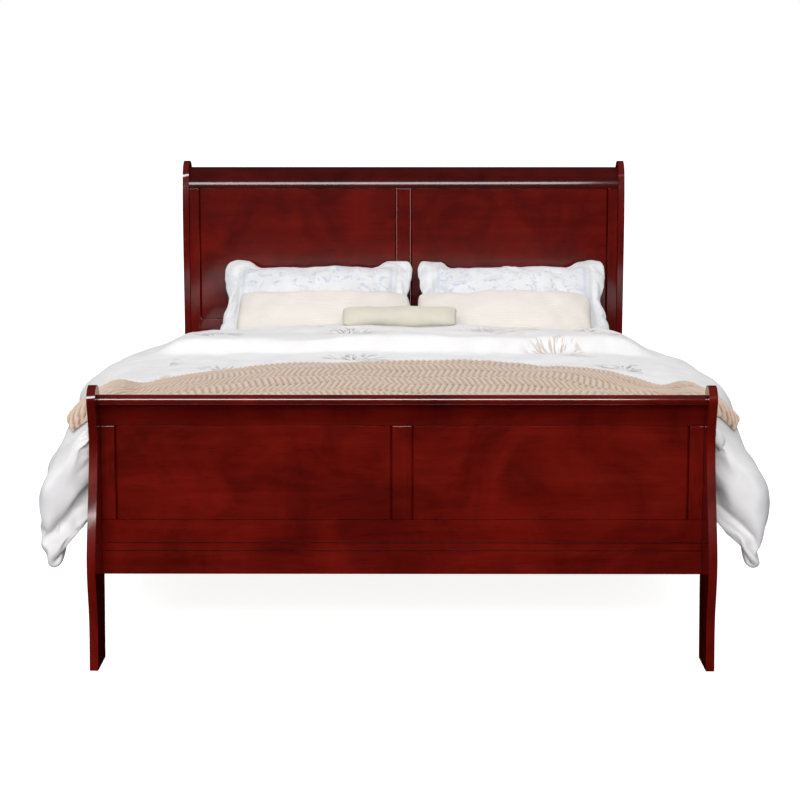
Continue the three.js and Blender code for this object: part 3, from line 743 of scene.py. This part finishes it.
def make_duvet():
    smooth = duvet_surface(190, 96)
    grid = add_folds(rounded_off(add_foot_corners(smooth), 3))
    rows, columns = grid.shape[:2]
    normals = grid_normals(grid)
    taper = edge_taper(rows, columns, ROW_STEP, COLUMN_STEP, 0.05)[..., None]
    in_corner = smoothstep((np.arange(columns) - 3) / (CORNER_COLUMNS + 3))[None, :, None]
    half = DUVET_THICKNESS / 2 * (0.35 + 0.65 * in_corner)
    middle = grid - normals * half
    upper = middle + normals * half * taper
    lower = middle - normals * half * taper
    over_bed = np.abs(lower[..., 0]) < HALF_MATTRESS + 0.035
    lower[..., 2] = np.where(over_bed, np.maximum(lower[..., 2], MATTRESS_TOP + 0.002), lower[..., 2])
    verts, faces = shell_mesh(upper, lower)
    duvet = make_object("duvet_soft", verts, faces, duvet_material())
    from_edge = np.minimum(np.arange(rows), np.arange(rows)[::-1])[:, None] * ROW_STEP
    from_edge = np.minimum(from_edge, np.arange(columns)[None, ::-1] * COLUMN_STEP)
    from_edge = np.minimum(from_edge, np.arange(columns)[None, :] * COLUMN_STEP)
    stored = duvet.data.attributes.new("seam", "FLOAT", "POINT")
    seam = np.exp(-((from_edge - 0.036) / 0.007) ** 2)
    both = np.concatenate([seam.ravel(), seam[1:-1, 1:-1].ravel()])
    stored.data.foreach_set("value", both.astype(np.float32))
    pinned = [(i, 1.0) for i in range(rows * columns, len(verts))]
    simulate_cloth(duvet, pressure=1.2, frames=14, grow=0.06, cap=0.016, pinned=pinned, bending=0.2)
    subdivided(duvet)
    finish_piece(duvet, "duvet_cotton", "duvet")
    return duvet


# ---- Throw ----
THROW_GAP = 0.004
THROW_THICKNESS = 0.007
STITCH = 0.0175
KNIT_ROW = 0.105
KNIT_LOFT = 0.0095
CABLE_SLANT = 1.1  # stitches that a cable stroke leans over one row
CABLE_SHARE = 0.76  # of a row; the rest is plain knit with holes
HEAD_EDGE_BACK = 0.13  # from the throw's box to its head edge at the middle
THROW_SWING = 0.47  # how far the head edge has swung towards the foot at the throw's ends
THROW_END_HEIGHT = THROW_LOW.z + 0.004


def knit_height(across, from_head):
    """Height from 0 to 1 of a knit: rows of strokes that slant to and fro, with holes between."""
    row = np.floor(from_head / KNIT_ROW)
    place = from_head / KNIT_ROW - row
    slant = np.where(row % 2 == 0, CABLE_SLANT, -CABLE_SLANT)
    strand = np.abs(np.sin(math.pi * (across / STITCH + slant * place)))
    cable = 0.15 + 0.85 * strand**0.8
    column = across / STITCH + 0.5 * (row % 2)
    aside = (column - np.floor(column) - 0.5) * STITCH
    hole = np.exp(-((aside / 0.0042) ** 2) - ((place - 0.86) * KNIT_ROW / 0.012) ** 2)
    in_cable = smoothstep((CABLE_SHARE - place) / 0.06) * smoothstep(place / 0.06)
    return np.clip(cable * in_cable + (0.85 - 0.9 * hole) * (1 - in_cable), 0, 1)


def resampled(grid, rows, columns):
    """A grid of points with another number of rows and columns."""
    u = np.linspace(0, grid.shape[0] - 1, rows)
    v = np.linspace(0, grid.shape[1] - 1, columns)
    i = np.minimum(u.astype(int), grid.shape[0] - 2)
    j = np.minimum(v.astype(int), grid.shape[1] - 2)
    fu, fv = (u - i)[:, None, None], (v - j)[None, :, None]
    near = grid[np.ix_(i, j)] * (1 - fu) + grid[np.ix_(i + 1, j)] * fu
    far = grid[np.ix_(i, j + 1)] * (1 - fu) + grid[np.ix_(i + 1, j + 1)] * fu
    return near * (1 - fv) + far * fv


def throw_base(rows, columns):
    """The throw's place on the smooth duvet. Its head edge swings towards the foot down each side."""
    last = len(FOOT_SECTION) - 1
    end = np.interp(-THROW_END_HEIGHT, -FOOT_SECTION[:, 1], np.arange(last + 1)) / last
    span = np.linspace(-end, end, rows)
    across = np.abs(duvet_points(span, np.full(rows, THROW_LOW.y))[:, 0])
    head_edge = THROW_HIGH.y - HEAD_EDGE_BACK - 0.01 * np.sin(9 * span)
    head_edge = head_edge - THROW_SWING * smoothstep((across - 0.33) / 0.62)
    v = np.linspace(0, 1, columns)
    y = THROW_LOW.y + (head_edge - THROW_LOW.y)[:, None] * v
    return duvet_points(np.repeat(span[:, None], columns, axis=1), y)


def laid_on(base, piece, gap):
    """The base grid moved along its normals until it lies on a piece with a gap."""
    normals = grid_normals(base)
    tree = BVHTree.FromObject(piece, bpy.context.evaluated_depsgraph_get())
    reach = 0.15
    lift = np.zeros(base.shape[:2])
    for i, j in np.ndindex(*lift.shape):
        normal = Vector(normals[i, j])
        _, _, _, distance = tree.ray_cast(Vector(base[i, j]) + normal * reach, -normal, 2 * reach)
        lift[i, j] = reach - distance if distance is not None else 0.0
    for _ in range(2):
        sides = np.pad(lift, 1, mode="edge")
        lift = np.maximum.reduce([lift, sides[:-2, 1:-1], sides[2:, 1:-1],
                                  sides[1:-1, :-2], sides[1:-1, 2:]])
    return base + normals * (blurred(lift, 3) + gap)[..., None]


def make_throw(duvet):
    rows, columns = 600, 200
    fine = resampled(laid_on(throw_base(220, 60), duvet, THROW_GAP), rows, columns)
    steps = np.linalg.norm(np.diff(fine, axis=0), axis=2)
    across = np.concatenate([np.zeros((1, columns)), np.cumsum(steps, axis=0)])
    across -= across[rows // 2]
    steps = np.linalg.norm(np.diff(fine, axis=1), axis=2)
    from_head = np.concatenate([np.zeros((rows, 1)), np.cumsum(steps[:, ::-1], axis=1)], axis=1)[:, ::-1]
    loft = knit_height(across, from_head)
    taper = edge_taper(rows, columns, 0.004, 0.004, 0.006)
    normals = grid_normals(fine)
    upper = fine + normals * ((THROW_THICKNESS * 0.35 + KNIT_LOFT * loft) * taper)[..., None]
    lower = fine - normals * (THROW_THICKNESS * 0.2 * taper)[..., None]
    verts, faces = shell_mesh(upper, lower)
    throw = make_object("throw_soft", verts, faces, knit_material())
    attribute = throw.data.attributes.new("loft", "FLOAT", "POINT")
    values = np.concatenate([loft.ravel(), np.full(len(verts) - loft.size, 0.3)])
    attribute.data.foreach_set("value", values.astype(np.float32))
    finish_piece(throw, "throw_knit", "throw")
    return throw


# ---- Pillows ----
def pillow_grids(width, height, depth, rows=44, columns=64):
    """Front and back grids of a slack pillow lying in the X-Z plane, before it is filled."""
    u = np.linspace(-1, 1, columns)
    v = np.linspace(-1, 1, rows)
    uu, vv = np.meshgrid(u, v, indexing="xy")
    fill = (np.cos(uu * math.pi / 2) * np.cos(vv * math.pi / 2)) ** 0.38
    x = uu * width / 2 * (1 - 0.05 * (uu * vv) ** 6)
    z = vv * height / 2 * (1 - 0.10 * (uu * vv) ** 6)
    front = np.stack([x, -fill * depth / 2, z], axis=-1)
    back = np.stack([x, fill * depth / 2, z], axis=-1)
    return front, back


def fitted(piece, low, high, tilt, rest=-1.0):
    """Turns a pillow back by tilt degrees, scales it to a box and presses its underside onto its support."""
    co = coordinates(piece.data)
    turn = np.array(Matrix.Rotation(math.radians(tilt - 90), 3, "X"))
    co = co @ turn.T
    size = co.max(0) - co.min(0)
    wanted = np.array(high - low)
    co = (co - (co.max(0) + co.min(0)) / 2) * (wanted / size) + np.array((low + high) / 2)
    sunk = np.maximum(rest - co[:, 2], 0)
    co[:, 2] += sunk
    set_coordinates(piece.data, co)


def make_pillow(name, cad_node, tilt, material, slot, seed, rib=None, lowered=0.0):
    low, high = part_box(cad_node)
    size = high - low
    length = size.z / math.sin(math.radians(max(tilt, 20))) * 0.75
    front, back = pillow_grids(size.x * 1.04, length, 0.11)
    verts, faces = shell_mesh(back, front)
    pillow = make_object(name, verts, faces, material)
    if rib:
        stored = pillow.data.attributes.new("rib", "FLOAT", "POINT")
        z = np.array([v[2] for v in verts])
        stored.data.foreach_set("value", (z / rib).astype(np.float32))
    simulate_cloth(pillow, pressure=2.0, frames=16, grow=0.05, cap=0.014, bending=0.15)
    co = coordinates(pillow.data)
    co += np.stack([waves(co, 0.11, seed + k, 2) * 0.007 for k in range(3)], axis=-1)
    set_coordinates(pillow.data, co)
    fitted(pillow, low, high - Vector((0, 0, lowered)), tilt, low.z)
    subdivided(pillow)
    finish_piece(pillow, slot, cad_node)
    return pillow


SHAM_LOBE = 0.052  # radius of the round corner lobes
SHAM_FRAME_INSET = 0.078  # of the printed frame line


def sham_outline(x, z, half_x, half_z):
    """Moves a rectangular grid to give it round corner lobes, dipped long edges and scalloped short ones."""
    past_x = np.clip((np.abs(x) - (half_x - SHAM_LOBE)) / SHAM_LOBE, 0, 1)
    past_z = np.clip((np.abs(z) - (half_z - SHAM_LOBE)) / SHAM_LOBE, 0, 1)
    round_x = SHAM_LOBE * past_x * (1 - np.sqrt(1 - past_z**2 / 2))
    round_z = SHAM_LOBE * past_z * (1 - np.sqrt(1 - past_x**2 / 2))
    beside_lobe = smoothstep((half_x - 1.7 * SHAM_LOBE - np.abs(x)) / 0.04)
    dip = beside_lobe * (0.022 + 0.020 * np.cos(np.clip(x / half_x, -1, 1) * math.pi / 2) ** 2)
    below_lobe = smoothstep((half_z - 1.7 * SHAM_LOBE - np.abs(z)) / 0.04)
    scallop = below_lobe * (0.010 + 0.006 * np.cos(2 * math.pi * z / 0.15))
    new_x = x - np.sign(x) * (round_x + scallop * np.abs(x / half_x) ** 8)
    new_z = z - np.sign(z) * (round_z + dip * np.abs(z / half_z) ** 3)
    return new_x, new_z


def make_sham(name, cad_node, tilt, material, seed):
    low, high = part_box(cad_node)
    size = high - low
    half_x, half_z = size.x / 2, size.z / math.sin(math.radians(tilt)) * 0.43
    uu, vv = np.meshgrid(np.linspace(-1, 1, 110), np.linspace(-1, 1, 72), indexing="xy")
    square_x, square_z = uu * half_x, vv * half_z
    x, z = sham_outline(square_x, square_z, half_x, half_z)
    inset = np.minimum(half_x - np.abs(square_x), half_z - np.abs(square_z))
    inner_u = np.clip(np.abs(square_x) / (half_x - 0.055), 0, 1)
    inner_v = np.clip(np.abs(square_z) / (half_z - 0.055), 0, 1)
    fill = (np.cos(inner_u * math.pi / 2) * np.cos(inner_v * math.pi / 2)) ** 0.5
    ruffle = waves(np.stack([x, z, np.zeros_like(x)], axis=-1), 0.10, seed, 2) * 0.016 * (1 - fill)
    half_edge = 0.0025
    front = np.stack([x, -fill * size.y * 0.14 - half_edge + ruffle, z], axis=-1)
    back = np.stack([x, fill * size.y * 0.14 + half_edge + ruffle, z], axis=-1)
    verts, faces = shell_mesh(back, front)
    sham = make_object(name, verts, faces, material)
    frame_line = np.exp(-((inset - SHAM_FRAME_INSET) / 0.004) ** 2)
    inside = smoothstep((inset - SHAM_FRAME_INSET) / 0.008)
    for label, values in (("border", frame_line), ("inside", inside)):
        stored = sham.data.attributes.new(label, "FLOAT", "POINT")
        both = np.concatenate([values.ravel(), values[1:-1, 1:-1].ravel()])
        stored.data.foreach_set("value", both.astype(np.float32))
    simulate_cloth(sham, pressure=3.0, frames=14, grow=0.04, cap=0.02, bending=0.2)
    co = coordinates(sham.data)
    co += np.stack([waves(co, 0.16, seed + k, 2) * 0.004 for k in range(3)], axis=-1)
    set_coordinates(sham.data, co)
    fitted(sham, low, high, tilt, low.z)
    subdivided(sham)
    finish_piece(sham, "sham_quilt", cad_node)
    return sham


def make_pillows():
    toile, ribbed, linen = toile_material(), ribbed_material(), linen_material()
    make_sham("sham_left_soft", "sham_left", 33, toile, 3)
    make_sham("sham_right_soft", "sham_right", 33, toile, 8)
    make_pillow("pillow_left_soft", "pillow_left", 42, ribbed, "cream_ribbed", 5, rib=0.006)
    make_pillow("pillow_right_soft", "pillow_right", 42, ribbed, "cream_ribbed", 11, rib=0.006)
    make_pillow("lumbar_soft", "lumbar_pillow", 55, linen, "sage_linen", 14, lowered=0.016)


# ======================================================================
# Studio
# ======================================================================
def area_light(name, place, target, width, height, energy, reflected=True):
    data = bpy.data.lights.new(name, "AREA")
    data.shape = "RECTANGLE"
    data.size, data.size_y = width, height
    data.energy = energy
    light = bpy.data.objects.new(name, data)
    light.location = place
    light.rotation_euler = (Vector(target) - Vector(place)).to_track_quat("-Z", "Y").to_euler()
    light.visible_glossy = reflected
    scene.collection.objects.link(light)


def make_studio():
    floor_material, tree, shader = new_material("floor", (0.93, 0.93, 0.93), 0.9, 0.1)
    tone = noise_at(tree, object_coordinates(tree, (0.6, 0.6, 0.6)), 1.0, 2.0)
    tree.links.new(ramp(tree, tone, [(0.3, (0.88, 0.88, 0.88)), (0.7, (0.92, 0.92, 0.92))]),
                   shader.inputs["Base Color"])
    shader.inputs["Emission Color"].default_value = (1, 1, 1, 1)
    shader.inputs["Emission Strength"].default_value = 0.78
    size = 30.0
    floor = make_object("floor", [(-size, -size, 0), (size, -size, 0), (size, size, 0), (-size, size, 0)],
                        [(0, 1, 2, 3)], floor_material, smooth=False)
    floor.visible_glossy = False
    floor.visible_diffuse = False
    world = bpy.data.worlds.new("studio")
    world.use_nodes = True
    tree = world.node_tree
    background = tree.nodes["Background"]
    sees = add_node(tree, "ShaderNodeLightPath")
    place = add_node(tree, "ShaderNodeTexCoord")
    height = add_node(tree, "ShaderNodeSeparateXYZ", {"Vector": place.outputs["Generated"]})
    sky = ramp(tree, height.outputs["Z"], [(0.0, (0.20, 0.20, 0.21)), (0.5, (0.35, 0.35, 0.36)),
                                           (0.9, (0.70, 0.70, 0.70))])
    dim = ramp(tree, height.outputs["Z"], [(0.45, (0.0, 0.0, 0.0)), (0.95, (0.06, 0.06, 0.06))])
    lit = mix_color(tree, sees.outputs["Is Glossy Ray"], sky, dim)
    shown = mix_color(tree, sees.outputs["Is Camera Ray"], lit, (1.0, 1.0, 1.0))
    tree.links.new(shown, background.inputs["Color"])
    background.inputs["Strength"].default_value = 1.0
    scene.world = world
    area_light("key", (-0.7, -8.0, 4.35), (0, -1.1, 0.7), width=4.6, height=2.2, energy=430)
    area_light("front_fill", (-1.0, -7.0, 1.4), (0, 0, 0.6), width=4.0, height=2.0, energy=105,
               reflected=False)
    area_light("overhead", (0, -0.4, 4.2), (0, -0.2, 0), width=5.0, height=4.0, energy=42,
               reflected=False)
    area_light("back_fill", (2.5, 5.0, 3.0), (0, 0.8, 0.6), width=3.0, height=2.0, energy=25,
               reflected=False)
    scene.view_settings.view_transform = "Standard"


def make_camera():
    data = bpy.data.cameras.new("camera")
    data.lens = CAMERA_LENS
    data.shift_y = CAMERA_SHIFT
    data.clip_end = 100
    camera = bpy.data.objects.new("camera", data)
    camera.location = (CAMERA_SIDE, FOOT_CREST_LOW.y - CAMERA_BACK, CAMERA_HEIGHT)
    camera.rotation_euler = (math.radians(90 - CAMERA_TIP), 0, math.radians(CAMERA_TURN))
    scene.collection.objects.link(camera)
    scene.camera = camera


make_camera()
make_studio()
dress_frame()
make_mattress()
duvet = make_duvet()
make_throw(duvet)
make_pillows()

bpy.context.view_layer.update()
